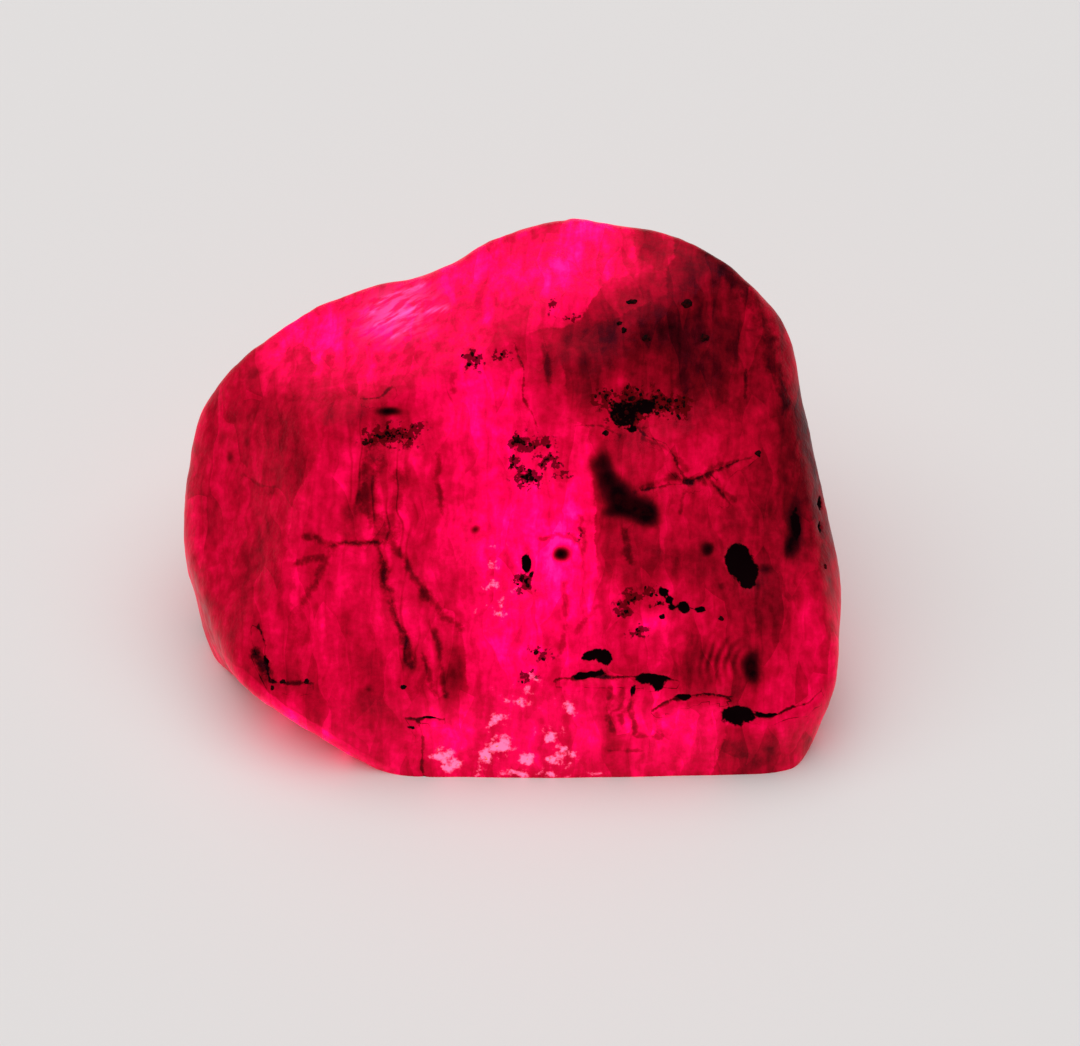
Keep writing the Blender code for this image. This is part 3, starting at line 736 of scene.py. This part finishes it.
@dataclass(frozen=True)
class RubyFinish:
    """Cloudy ruby that glows pink-red from inside, with veins, streaks, frost and dark grains.

    The glow stands for light that is put through the stone, which the photograph shows.
    """

    name: str = "ruby"
    refraction: float = 1.76
    clarity: float = 0.16
    gloss: float = 0.02
    sheen: Colour = (1.0, 0.10, 0.28, 1.0)
    strength: float = 2.0
    absorbed: Colour = (1.0, 0.04, 0.16, 1.0)
    absorption: float = 90.0
    body_share: float = 0.9
    tones: tuple[tuple[float, Colour], ...] = (
        (0.0, (0.0007, 0.0001, 0.0002, 1.0)),
        (0.17, (0.015, 0.0001, 0.0008, 1.0)),
        (0.30, (0.045, 0.0003, 0.0015, 1.0)),
        (0.42, (0.097, 0.0003, 0.0036, 1.0)),
        (0.54, (0.171, 0.0003, 0.0072, 1.0)),
        (0.67, (0.272, 0.0003, 0.016, 1.0)),
        (0.79, (0.410, 0.0004, 0.035, 1.0)),
        (0.86, (0.560, 0.0005, 0.056, 1.0)),
        (0.93, (0.80, 0.001, 0.088, 1.0)),
        (1.0, (0.95, 0.004, 0.125, 1.0)),
    )
    brightest: float = 1.2
    mottle_scale: float = 2.0
    mottle_swing: float = 0.50
    streak_stretch: Point = (2.4, 0.6, 0.36)
    streak_swing: float = 0.40
    block_stretch: Point = (1.2, 0.45, 0.36)
    block_swing: float = 0.15
    thread_stretch: Point = (1.5, 0.26, 0.20)
    thread_width: float = 0.07
    rib_turns: float = 19.0
    crumb_scale: float = 4.4
    brush_turn: float = 0.42
    brush_size: Point = (1.1, 0.26, 0.6)
    scratch_stretch: Point = (7.0, 6.0, 2.2)
    scratch_depth: float = 0.00005
    milk: Colour = (0.60, 0.055, 0.24, 1.0)
    frost: Colour = (0.66, 0.095, 0.21, 1.0)
    amber: Colour = (0.8, 0.07, 0.03, 1.0)
    rust: Colour = (0.030, 0.0004, 0.0008, 1.0)
    black: Colour = (0.0008, 0.0002, 0.0003, 1.0)

    def edges(self, bench: Bench, fine: Feed) -> list[Socket]:
        """The change of brightness past the crisp edges, one for each lane."""
        sides = bench.add("ShaderNodeSeparateXYZ", {"Vector": bench.layer(Layer.EDGE_SIDE, "Vector")})
        drops = bench.add("ShaderNodeSeparateXYZ", {"Vector": bench.layer(Layer.EDGE_DROP, "Vector")})
        ragged = bench.span(fine, 0.36, 0.64, -0.8, 0.8)
        found = []
        for side, drop in zip(sides.outputs, drops.outputs):
            past = bench.span(bench.plus(side, ragged), -0.9, 0.9, 1.0, 0.0)
            found.append(bench.times(drop, past))
        return found

    def shades(self, bench: Bench, fine: Feed) -> Socket:
        """How much the fibres and grooves darken the stone, with ragged sides."""
        away = bench.plus(bench.layer(Layer.SHADE_AWAY), bench.span(fine, 0.34, 0.66, -0.4, 0.3))
        return bench.times(bench.layer(Layer.SHADE_NEAR), bench.span(away, 0.0, 1.2, 1.15, 0.0))

    def cracks(self, bench: Bench, fine: Feed) -> Socket:
        """How much the cracks darken the stone: a dark line in a faint halo, which in the ledge and the
        notch is painted shadow.
        """
        across = bench.math("ABSOLUTE", bench.layer(Layer.CRACK_SIDE))
        ragged = bench.plus(across, bench.span(fine, 0.38, 0.62, -0.03, 0.05))
        return bench.times(bench.layer(Layer.CRACK_NEAR), bench.span(ragged, 0.0, 0.09, 0.78, 0.06))

    def threads(self, bench: Bench, warped: Feed) -> Socket:
        """How much the hair-thin lines darken the stone, more so among the fibres."""
        hair = bench.noise(bench.stretch(warped, self.thread_stretch), 1.0, 1.0)
        apart = bench.math("ABSOLUTE", bench.math("SUBTRACT", hair, 0.5))
        thread = bench.span(apart, 0.0, self.thread_width, 0.17, 0.0)
        return bench.times(bench.plus(bench.layer(Layer.FIBRE), 0.25), thread)

    def light(self, bench: Bench, warped: Feed, fine: Feed) -> Socket:
        """How bright the inside is, with its mottling, streaks, veins, cracks and fibres.

        Args:
            bench: The material's nodes.
            warped: Place on the stone in millimetres, pushed about.
            fine: The fine mottling.

        Returns:
            Brightness, from 0 to 1.
        """
        streak = bench.noise(bench.stretch(warped, self.streak_stretch), 1.0, 3.0, 0.6)
        cell_place = bench.stretch(warped, self.block_stretch)
        cells = bench.add("ShaderNodeTexVoronoi", {"Vector": cell_place, "Scale": 1.0}, feature="F1")
        block = bench.add("ShaderNodeSeparateColor", {"Color": cells.outputs["Color"]}).outputs[0]
        total = bench.layer(Layer.GLOW)
        swings = ((fine, self.mottle_swing), (streak, self.streak_swing), (block, self.block_swing))
        for pattern, swing in swings:
            total = bench.plus(total, bench.times(bench.math("SUBTRACT", pattern, 0.5), swing))
        # Painted light and shade of the ribs.
        turns = bench.math("SINE", bench.times(bench.layer(Layer.RIB), self.rib_turns))
        rib = bench.times(bench.layer(Layer.RIB_NEAR), turns)
        lines = (self.cracks(bench, fine), self.threads(bench, warped), rib, self.shades(bench, fine))
        for dark in lines:
            total = bench.math("SUBTRACT", total, dark)
        for drop in self.edges(bench, fine):
            total = bench.plus(total, drop)
        veil = bench.span(bench.layer(Layer.VEIL), 0.06, 0.84)
        veil = bench.times(veil, bench.span(fine, 0.3, 0.7, 1.05, 0.88))
        shaded = bench.times(total, bench.math("SUBTRACT", 1.0, veil, clamp=True))
        return bench.math("DIVIDE", shaded, self.brightest, clamp=True)

    def whites(self, bench: Bench, warped: Feed, fine: Feed, crumb: Feed, colour: Feed) -> Socket:
        """Lays the milky streak and the flakes of frost over the stone's colour.

        Args:
            bench: The material's nodes.
            warped: Place on the stone in millimetres, pushed about.
            fine: The fine mottling.
            crumb: The crumbly pattern.
            colour: The stone's colour.

        Returns:
            The colour with both on it.
        """
        sizes = {"Vector": warped, "Rotation": (0.0, 0.0, self.brush_turn), "Scale": self.brush_size}
        turned = bench.add("ShaderNodeMapping", vector_type="TEXTURE")
        bench.feed(turned, sizes)
        brush = bench.noise(turned.outputs["Vector"], 1.0, 3.0, 0.6)
        milk = bench.times(bench.layer(Layer.MILK), bench.span(brush, 0.40, 0.62, 0.10, 1.0))
        colour = bench.blend(milk, colour, self.milk)
        flaked = bench.times(bench.layer(Layer.FROST), 0.34)
        frosted = bench.span(bench.plus(fine, flaked), 0.72, 0.88, 0.0, 0.9)
        frosted = bench.times(frosted, bench.span(flaked, 0.03, 0.1))
        pale = bench.blend(bench.span(crumb, 0.64, 0.70), self.frost, self.amber)
        return bench.blend(frosted, colour, pale)

    def build(self) -> bpy.types.Material:
        """Makes the material.

        Returns:
            The ruby material, with its patterns read from the skin's vertices and its own place.
        """
        material, bench, shader = new_finish(self.name)
        material.cycles.emission_sampling = "NONE"
        metres = bench.add("ShaderNodeTexCoord").outputs["Object"]
        place = bench.stretch(metres, (1.0 / MILLIMETRE,) * 3)
        warped = bench.layer(Layer.WARP, "Vector")
        fine = bench.noise(place, self.mottle_scale, 4.0, 0.62)
        crumb = bench.noise(place, self.crumb_scale, 2.0, 0.6)
        colour = bench.ramp(self.light(bench, warped, fine), self.tones)
        colour = self.whites(bench, warped, fine, crumb, colour)
        dense = bench.plus(bench.layer(Layer.GRIT), bench.span(crumb, 0.30, 0.70, -1.05, -0.08))
        grit = bench.span(dense, -0.06, 0.24)
        colour = bench.blend(bench.times(grit, 0.85), colour, self.rust)
        colour = bench.blend(bench.span(dense, 0.64, 0.90), colour, self.black)
        # Painted shade: black in the open holes, slots and crack mouths, and the black grains' own colour.
        edge = bench.plus(bench.layer(Layer.SPOT), bench.span(crumb, 0.3, 0.7, -0.11, 0.11))
        spot = bench.span(edge, -0.08, 0.10)
        colour = bench.blend(spot, colour, self.black)
        dull = bench.math("MAXIMUM", bench.math("MAXIMUM", spot, bench.layer(Layer.VEIL)), grit)
        rough = bench.plus(bench.span(fine, 0.35, 0.65, 0.28, 0.44), bench.times(dull, 0.45))
        scratches = bench.noise(bench.stretch(place, self.scratch_stretch), 1.0, 2.0, 0.6)
        surface = {
            # Painted light: the glow, with all its light and shade, is emitted, and the base colour is the
            # same painted glow, a little darker.
            "Base Color": bench.stretch(colour, (self.body_share,) * 3),
            "Emission Color": colour,
            "Emission Strength": self.strength,
            "IOR": self.refraction,
            "Transmission Weight": bench.span(dull, 0.0, 1.0, self.clarity, 0.0),
            "Specular IOR Level": self.gloss,
            "Specular Tint": self.sheen,
            "Roughness": rough,
            "Normal": bench.bump(scratches, 0.5, self.scratch_depth),
        }
        bench.feed(shader, surface)
        inside = {"Color": self.absorbed, "Density": self.absorption}
        absorb = bench.add("ShaderNodeVolumeAbsorption", inside)
        output = material.node_tree.nodes["Material Output"]
        bench.join(output.inputs["Volume"], absorb.outputs["Volume"])
        return material


@dataclass(frozen=True)
class GrainFinish:
    """Near-black mineral grains with a dull, pitted face."""

    name: str = "dark mineral"
    dark: Colour = (0.002, 0.0004, 0.0006, 1.0)
    light: Colour = (0.05, 0.001, 0.002, 1.0)
    mottle_scale: float = 6000.0
    roughness: float = 0.75
    roughness_swing: float = 0.15
    gloss: float = 0.04

    def build(self) -> bpy.types.Material:
        """Makes the material of the dark grains."""
        material, bench, shader = new_finish(self.name)
        metres = bench.add("ShaderNodeTexCoord").outputs["Object"]
        mottle = bench.noise(metres, self.mottle_scale, 3.0)
        low = self.roughness - self.roughness_swing
        surface = {
            "Base Color": bench.blend(bench.span(mottle, 0.4, 0.7), self.dark, self.light),
            "Roughness": bench.span(mottle, 0.3, 0.7, low, self.roughness + self.roughness_swing),
            "Specular IOR Level": self.gloss,
            "Normal": bench.bump(mottle, 0.4, 0.00003),
        }
        bench.feed(shader, surface)
        return material


@dataclass(frozen=True)
class FloorFinish:
    """Plain pale matt floor."""

    name: str = "pale floor"
    colour: Colour = (0.80, 0.785, 0.78, 1.0)
    roughness: float = 0.75

    def build(self) -> bpy.types.Material:
        """Makes the floor's material."""
        material, bench, shader = new_finish(self.name)
        bench.feed(shader, {"Base Color": self.colour, "Roughness": self.roughness})
        return material


@dataclass
class RubyStone:
    """The stone's fine skin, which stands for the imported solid. Its sizes are in millimetres."""

    merge_gap: float = 1e-6  # in metres
    levels: int = 2
    flattest_fold: float = 50.0
    skew_limit: float = 70.0
    rim_fade: float = 0.35
    lump_height: float = 0.045
    lump_length: float = 1.5
    dent_height: float = 0.020
    dent_length: float = 0.62
    pore_height: float = 0.009
    pore_length: float = 0.3
    stria_height: float = 0.020
    stria_length: Point = (0.42, 0.5, 7.0)
    grit_depth: float = 0.03
    pit_depth: float = 0.16
    flake_height: float = 0.03
    flake_length: float = 0.35
    step_height: float = 0.13
    step_start: float = 2.1
    step_softness: float = 0.05
    halo: float = 0.45
    crack_reach: float = 0.4
    drift_length: float = 0.9
    loose_drift: float = 0.16
    edge_drift: float = 0.06
    pattern_drift: float = 0.22
    edge_limit: float = 9.0
    shade_limit: float = 5.0
    shade_halo: float = 2.6
    fibre_halo: float = 2.2
    rib_drift: float = 0.12
    spot_swing: float = 0.16
    spot_length: float = 0.5
    glow_waves: tuple[tuple[float, float | Point, float], ...] = (
        (0.08, 1.7, 61.0),
        (0.10, (0.9, 3.4, 4.2), 13.0),
        (0.07, (0.45, 1.5, 2.0), 17.0),
    )

    def quads(self, node: bpy.types.Object) -> bpy.types.Object:
        """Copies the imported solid, open at its base and in squares.

        Args:
            node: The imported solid's object, which is left as it is.

        Returns:
            The copy.
        """
        shape = bmesh.new()
        shape.from_mesh(node.data)
        bmesh.ops.remove_doubles(shape, verts=shape.verts[:], dist=self.merge_gap)
        base = [face for face in shape.faces if all(v.co.z < self.merge_gap for v in face.verts)]
        bmesh.ops.delete(shape, geom=base, context="FACES")
        limits = {
            "angle_face_threshold": math.radians(self.flattest_fold),
            "angle_shape_threshold": math.radians(self.skew_limit),
        }
        bmesh.ops.join_triangles(shape, faces=shape.faces[:], **limits)
        mesh = bpy.data.meshes.new("ruby skin")
        shape.to_mesh(mesh)
        shape.free()
        return placed("ruby", mesh)

    def refine(self, skin: bpy.types.Object) -> None:
        """Cuts the squares finer and smooths them, as a plain mesh."""
        finer = skin.modifiers.new("finer", "SUBSURF")
        finer.levels = self.levels
        finer.render_levels = self.levels
        coarse = skin.data
        skin.data = evaluated_mesh(skin)
        skin.modifiers.remove(finer)
        bpy.data.meshes.remove(coarse)

    def relief(self, points: np.ndarray, layers: dict[Layer, np.ndarray]) -> np.ndarray:
        """Height of the fine relief at each point, in millimetres.

        Args:
            points: The skin's vertices in millimetres.
            layers: What the vertices carry.

        Returns:
            Heights, which fade out at the rim of the base.
        """
        height = self.lump_height * waves(points, self.lump_length)
        height += self.dent_height * waves(points, self.dent_length, 11.0)
        height += self.pore_height * waves(points, self.pore_length, 23.0)
        height += self.stria_height * waves(points, self.stria_length, 31.0)
        height -= layers[Layer.GRIT].clip(0.0, 1.0) * self.grit_depth
        height -= self.pit_depth * np.clip(layers[Layer.SPOT] * 2.0, 0.0, 1.0)
        steep = np.clip((points[:, 0] - self.step_start) / self.step_softness, -30.0, 30.0)
        height += self.step_height * (1.0 / (1.0 + np.exp(-steep))) * CROWN_STEP.over(points)
        height += self.flake_height * layers[Layer.FROST] * waves(points, self.flake_length, 47.0)
        return height * np.clip(points[:, 2] / self.rim_fade, 0.0, 1.0)

    def edges(
        self, points: np.ndarray, nudged: np.ndarray, normals: np.ndarray
    ) -> tuple[np.ndarray, np.ndarray]:
        """Each vertex's side of the strongest boundary of each lane, and the change past it.

        Args:
            points: The vertices in millimetres.
            nudged: The same, pushed about a little.
            normals: Their directions.

        Returns:
            The distances to the left of the line, over its softness, and the changes.
        """
        sides = np.full((len(points), LANES), self.edge_limit)
        drops = np.zeros((len(points), LANES))
        for edge in BOUNDARIES:
            _, left = line_distance(nudged, normals, edge.points)
            drop = edge.over(points)
            stronger = np.abs(drop) > np.abs(drops[:, edge.lane])
            past = np.clip(left[stronger] / edge.softness, -self.edge_limit, self.edge_limit)
            drops[stronger, edge.lane] = drop[stronger]
            sides[stronger, edge.lane] = past
        return sides, drops

    def shades(self, loose: np.ndarray, normals: np.ndarray) -> dict[Layer, np.ndarray]:
        """What the vertices carry for the fibres and the grooves.

        Args:
            loose: The vertices in millimetres, pushed about.
            normals: Their directions.

        Returns:
            Where the fibres are, the distance from the nearest line over its width, and its strength.
        """
        fibre = np.zeros(len(loose))
        apart = np.full(len(loose), self.shade_limit)
        dim = np.zeros(len(loose))
        for shade in FIBRES + SHADES:
            distance, _ = line_distance(loose, normals, shade.points)
            spread = distance / shade.width
            apart = np.minimum(apart, spread)
            dim = np.maximum(dim, shade.strength * bell(spread / self.shade_halo))
            if shade in FIBRES:
                fibre = np.maximum(fibre, bell(distance / (self.fibre_halo * shade.width)))
        return {Layer.FIBRE: fibre, Layer.SHADE_AWAY: apart, Layer.SHADE_NEAR: dim}

    def cracks(
        self, loose: np.ndarray, normals: np.ndarray
    ) -> tuple[dict[Layer, np.ndarray], np.ndarray]:
        """What the vertices carry for the cracks.

        Args:
            loose: The vertices in millimetres, pushed about.
            normals: Their directions.

        Returns:
            The side of the nearest crack and its strength, and the depth of the cracks.
        """
        nearest = np.full(len(loose), FAR)
        side = np.full(len(loose), FAR)
        near = np.zeros(len(loose))
        groove = np.zeros(len(loose))
        for crack in CRACKS:
            distance, across = line_distance(loose, normals, crack.points)
            closer = distance < nearest
            nearest[closer] = distance[closer]
            side[closer] = across[closer]
            near = np.maximum(near, crack.strength * bell(distance / self.halo))
            groove = np.maximum(groove, crack.depth * bell(distance / crack.width))
        reach = self.crack_reach
        side = np.where(nearest < reach, np.clip(side, -reach, reach), reach)
        return {Layer.CRACK_SIDE: side, Layer.CRACK_NEAR: near}, groove

    def layers(
        self, points: np.ndarray, normals: np.ndarray
    ) -> tuple[dict[Layer, np.ndarray], np.ndarray]:
        """What the skin's vertices carry for the finish.

        Args:
            points: The vertices in millimetres.
            normals: Their directions.

        Returns:
            One row of values for each layer, and the depth of the cracks in millimetres.
        """
        drift = np.stack([waves(points, self.drift_length, shift) for shift in (3.0, 5.0, 7.0)], axis=1)
        loose = points + drift * self.loose_drift
        glow = GLOW_LEVEL + sum(cloud.over(points) for cloud in GLOW_CLOUDS)
        for swing, length, shift in self.glow_waves:
            glow += swing * waves(points, length, shift)
        sides, drops = self.edges(points, points + drift * self.edge_drift, normals)
        reach = [np.linalg.norm((loose - np.array(c.place)) / np.array(c.size), axis=1) for c in SPOTS]
        ragged = self.spot_swing * waves(points, self.spot_length, 91.0)
        milk = MILK_HAZE.over(loose)
        for streak in MILKS:
            distance, _ = line_distance(loose, normals, streak.points)
            milk = np.maximum(milk, streak.strength * bell(distance / streak.width))
        ring = np.linalg.norm(points - np.array(RIB_CENTRE), axis=1)
        cracks, groove = self.cracks(loose, normals)
        found = {
            Layer.GLOW: glow,
            Layer.VEIL: 1.0 - np.prod([1.0 - cloud.over(loose) for cloud in VEILS], axis=0),
            Layer.SPOT: np.clip(1.0 - np.min(reach, axis=0) + ragged, -1.0, 1.0),
            Layer.GRIT: np.max([cloud.over(loose) for cloud in GRITS], axis=0),
            Layer.FROST: np.max([cloud.over(points) for cloud in FROSTS], axis=0),
            Layer.MILK: milk,
            Layer.WARP: points + drift * self.pattern_drift,
            Layer.EDGE_SIDE: sides,
            Layer.EDGE_DROP: drops,
            Layer.RIB: ring + self.rib_drift * drift[:, 0],
            Layer.RIB_NEAR: RIBS.over(points),
        }
        return {**found, **self.shades(loose, normals), **cracks}, groove

    def close_base(self, mesh: bpy.types.Mesh) -> None:
        """Closes the skin with a flat base that looks down, with a crisp rim."""
        shape = bmesh.new()
        shape.from_mesh(mesh)
        rim = [edge for edge in shape.edges if edge.is_boundary]
        for edge in rim:
            for corner in edge.verts:
                corner.co.z = 0.0
        for face in shape.faces:
            face.smooth = True
        filled = bmesh.ops.contextual_create(shape, geom=rim)["faces"]
        if len(filled) != 1:
            raise RuntimeError("the rim of the base isn't one loop")
        if filled[0].normal.z > 0.0:
            filled[0].normal_flip()
        filled[0].smooth = False
        for edge in rim:
            edge.smooth = False
        bmesh.ops.triangulate(shape, faces=filled)
        shape.to_mesh(mesh)
        shape.free()

    def build(self, node: bpy.types.Object, finish: RubyFinish) -> bpy.types.Object:
        """Makes the stone's skin.

        Args:
            node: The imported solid's object.
            finish: The ruby's finish.

        Returns:
            The finished piece.
        """
        skin = self.quads(node)
        self.refine(skin)
        mesh = skin.data
        flat = np.zeros(len(mesh.vertices) * 3)
        mesh.vertices.foreach_get("co", flat)
        points = flat.reshape(-1, 3) / MILLIMETRE
        mesh.vertices.foreach_get("normal", flat)
        normals = flat.reshape(-1, 3).copy()
        found, groove = self.layers(points, normals)
        height = self.relief(points, found)
        # Painted light and shade: the relief also lightens the glow on lumps and darkens it in dents, pits
        # and grit.
        found[Layer.GLOW] += height
        height -= groove
        moved = (points + normals * height[:, None]) * MILLIMETRE
        moved[:, 2] = np.maximum(moved[:, 2], 0.0)
        mesh.vertices.foreach_set("co", moved.reshape(-1))
        for layer, values in found.items():
            wide = values.ndim == 2
            carried = mesh.attributes.new(layer.value, "FLOAT_VECTOR" if wide else "FLOAT", "POINT")
            carried.data.foreach_set("vector" if wide else "value", values.reshape(-1))
        self.close_base(mesh)
        mesh.materials.clear()
        mesh.materials.append(finish.build())
        return skin


@dataclass
class DarkGrains:
    """The dark mineral grains: clusters scattered over the skin, and single specks."""

    per_square_metre: float = 30e6
    spacing: float = 0.000095
    smallest: float = 0.000028
    largest: float = 0.00010
    unevenness: float = 0.00004
    seed: int = 7
    thinnest_grit: float = 0.35
    full_turn: float = 6.28
    sink: float = 0.6

    def lumps(self, bench: Bench, seed: Socket, smallest: Socket, largest: Socket) -> dict[str, Socket]:
        """The lump that is repeated, with its turns and its uneven sizes.

        Args:
            bench: The tree's nodes.
            seed: The tree's seed.
            smallest: The smallest size.
            largest: The largest size.

        Returns:
            What the node that sets copies takes, by the names of its inputs.
        """
        kind = "FunctionNodeRandomValue"
        lump = bench.add("GeometryNodeMeshIcoSphere", {"Radius": 1.0, "Subdivisions": 2})
        turn = bench.add(kind, data_type="FLOAT_VECTOR")
        bench.feed(turn, {"Max": (self.full_turn,) * 3, "Seed": seed})
        size = bench.add(kind, data_type="FLOAT")
        bench.feed(size, {"Min": smallest, "Max": largest, "Seed": seed})
        shape = bench.add(kind, data_type="FLOAT_VECTOR")
        bench.feed(shape, {"Min": (0.7, 0.7, 0.5), "Max": (1.5, 1.2, 1.0)})
        scale = bench.add("ShaderNodeVectorMath", operation="SCALE")
        bench.feed(scale, {"Vector": shape.outputs[0], "Scale": size.outputs[1]})
        return {
            "Instance": lump.outputs["Mesh"],
            "Rotation": turn.outputs[0],
            "Scale": scale.outputs["Vector"],
        }

    def tree(self, material: bpy.types.Material) -> bpy.types.NodeTree:
        """Builds the tree that sets small uneven lumps where the skin carries grit.

        Args:
            material: The grains' material.

        Returns:
            The tree, with named inputs for its sizes.
        """
        tree = bpy.data.node_groups.new("scattered grains", "GeometryNodeTree")
        tree.interface.new_socket("Geometry", in_out="INPUT", socket_type="NodeSocketGeometry")
        for name in ("Grains per area", "Spacing", "Smallest", "Largest", "Unevenness"):
            tree.interface.new_socket(name, in_out="INPUT", socket_type="NodeSocketFloat")
        tree.interface.new_socket("Seed", in_out="INPUT", socket_type="NodeSocketInt")
        tree.interface.new_socket("Geometry", in_out="OUTPUT", socket_type="NodeSocketGeometry")
        bench = Bench(tree)
        given = bench.add("NodeGroupInput").outputs
        grit = bench.add("GeometryNodeInputNamedAttribute", data_type="FLOAT")
        bench.feed(grit, {"Name": Layer.GRIT.value})
        scatter = bench.add("GeometryNodeDistributePointsOnFaces", distribute_method="POISSON")
        spread = {
            "Mesh": given["Geometry"],
            "Distance Min": given["Spacing"],
            "Density Max": given["Grains per area"],
            "Density Factor": bench.span(grit.outputs[0], self.thinnest_grit, 1.0),
            "Seed": given["Seed"],
        }
        bench.feed(scatter, spread)
        lumps = self.lumps(bench, given["Seed"], given["Smallest"], given["Largest"])
        copies = bench.add("GeometryNodeInstanceOnPoints", {"Points": scatter.outputs["Points"], **lumps})
        real = bench.add("GeometryNodeRealizeInstances", {"Geometry": copies.outputs["Instances"]})
        where = bench.add("GeometryNodeInputPosition").outputs["Position"]
        push = bench.add("ShaderNodeVectorMath", operation="SUBTRACT")
        bench.join(push.inputs[0], bench.noise(where, 9000.0, 1.0, output="Color"))
        bench.join(push.inputs[1], (0.5, 0.5, 0.5))
        offset = bench.add("ShaderNodeVectorMath", operation="SCALE")
        bench.feed(offset, {"Vector": push.outputs["Vector"], "Scale": given["Unevenness"]})
        moved = {"Geometry": real.outputs["Geometry"], "Offset": offset.outputs["Vector"]}
        uneven = bench.add("GeometryNodeSetPosition", moved)
        finish = {"Geometry": uneven.outputs["Geometry"], "Material": material}
        dressed = bench.add("GeometryNodeSetMaterial", finish)
        bench.join(bench.add("NodeGroupOutput").inputs["Geometry"], dressed.outputs["Geometry"])
        return tree

    def scattered(self, stone: bpy.types.Object, material: bpy.types.Material) -> bpy.types.Object:
        """Makes the clusters as one plain mesh.

        Args:
            stone: The finished skin.
            material: The grains' material.

        Returns:
            The piece.
        """
        host = placed("grain host", stone.data.copy())
        tree = self.tree(material)
        scatter = host.modifiers.new("grains", "NODES")
        scatter.node_group = tree
        sizes = {
            "Grains per area": self.per_square_metre,
            "Spacing": self.spacing,
            "Smallest": self.smallest,
            "Largest": self.largest,
            "Unevenness": self.unevenness,
            "Seed": self.seed,
        }
        for item in tree.interface.items_tree:
            if item.in_out == "INPUT" and item.name in sizes:
                scatter[item.identifier] = sizes[item.name]
        mesh = evaluated_mesh(host)
        host.modifiers.remove(scatter)
        bpy.data.objects.remove(host)
        return placed("grain_clusters", mesh)

    def specks(self, stone: bpy.types.Object, material: bpy.types.Material) -> bpy.types.Object:
        """Makes the single grains as one plain mesh, each sunk into the skin.

        Args:
            stone: The finished skin.
            material: The grains' material.

        Returns:
            The piece.
        """
        surface = BVHTree.FromObject(stone, bpy.context.evaluated_depsgraph_get())
        whole = bmesh.new()
        for number, speck in enumerate(SPECKS):
            foot, normal, _, _ = surface.find_nearest(Vector(speck.place) * MILLIMETRE)
            made = bmesh.ops.create_icosphere(whole, subdivisions=3, radius=1.0)["verts"]
            for corner in made:
                swell = 1.0 + 0.35 * noise.noise(corner.co * 1.7 + Vector((number * 3.1, 0.0, 0.0)))
                corner.co = Vector(c * s for c, s in zip(corner.co, speck.size)) * swell * MILLIMETRE
                corner.co += foot - normal * min(speck.size) * self.sink * MILLIMETRE
        mesh = bpy.data.meshes.new("grain specks")
        whole.to_mesh(mesh)
        whole.free()
        mesh.materials.append(material)
        return placed("grain_specks", mesh)

    def build(self, stone: bpy.types.Object, finish: GrainFinish) -> list[bpy.types.Object]:
        """Makes the grain clusters and the single specks."""
        material = finish.build()
        return [self.scattered(stone, material), self.specks(stone, material)]


@dataclass
class Studio:
    """Pale floor, soft light, the surrounding air and the camera."""

    floor_side: float = 3.0
    light_place: Point = (-0.10, 0.10, 0.90)
    light_aim: Point = (0.0, 0.0, 0.006)
    light_side: float = 1.60
    light_power: float = 12.0
    light_colour: Point = (1.0, 0.985, 0.97)
    camera_place: Point = (0.00108, -0.15623, 0.15047)
    camera_rise: float = 43.0
    lens: float = 187.23
    sensor: float = 36.0
    air: Colour = (0.86, 0.88, 0.92, 1.0)
    air_strength: float = 0.24

    def floor(self) -> bpy.types.Object:
        """Lays the floor at height zero."""
        half = self.floor_side / 2.0
        mesh = bpy.data.meshes.new("floor")
        corners = [(-half, -half, 0.0), (half, -half, 0.0), (half, half, 0.0), (-half, half, 0.0)]
        mesh.from_pydata(corners, [], [(0, 1, 2, 3)])
        mesh.materials.append(FloorFinish().build())
        floor = placed("floor", mesh)
        return floor

    def overhead_light(self) -> None:
        """Adds the square soft light, which looks at the stone."""
        light = bpy.data.lights.new("overhead light", "AREA")
        light.size = self.light_side
        light.energy = self.light_power
        light.color = self.light_colour
        box = placed("overhead light", light)
        box.location = self.light_place
        towards = Vector(self.light_aim) - Vector(self.light_place)
        box.rotation_euler = towards.to_track_quat("-Z", "Y").to_euler()

    def surrounding_air(self) -> None:
        """Fills the surroundings with an even pale light."""
        world = bpy.data.worlds.new("studio air")
        world.use_nodes = True
        sky = world.node_tree.nodes["Background"]
        sky.inputs["Color"].default_value = self.air
        sky.inputs["Strength"].default_value = self.air_strength
        bpy.context.scene.world = world
        bpy.context.scene.view_settings.view_transform = "Standard"

    def camera(self) -> None:
        """Sets the camera at the photograph's viewing angle."""
        lens = bpy.data.cameras.new("camera")
        lens.lens = self.lens
        lens.sensor_width = self.sensor
        lens.clip_start = 0.01
        lens.clip_end = 20.0
        camera = placed("camera", lens)
        camera.location = self.camera_place
        camera.rotation_euler = (math.radians(90.0 - self.camera_rise), 0.0, 0.0)
        bpy.context.scene.camera = camera

    def build(self) -> None:
        """Sets up the floor, the light, the air and the camera."""
        self.floor()
        self.overhead_light()
        self.surrounding_air()
        self.camera()


def main() -> None:
    """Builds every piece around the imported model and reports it."""
    logging.basicConfig(level=logging.INFO, format="%(message)s")
    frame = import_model()
    Studio().build()
    LOG.info("studio set")
    stone = RubyStone().build(frame["nodes"]["ruby_crystal"], RubyFinish())
    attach(stone, "root")
    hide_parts("ruby_crystal")
    LOG.info("stone: %d vertices, %d faces", len(stone.data.vertices), len(stone.data.polygons))
    for grains in DarkGrains().build(stone, GrainFinish()):
        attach(grains, "root")
        LOG.info("%s: %d faces", grains.name, len(grains.data.polygons))


if __name__ == "__main__":
    main()
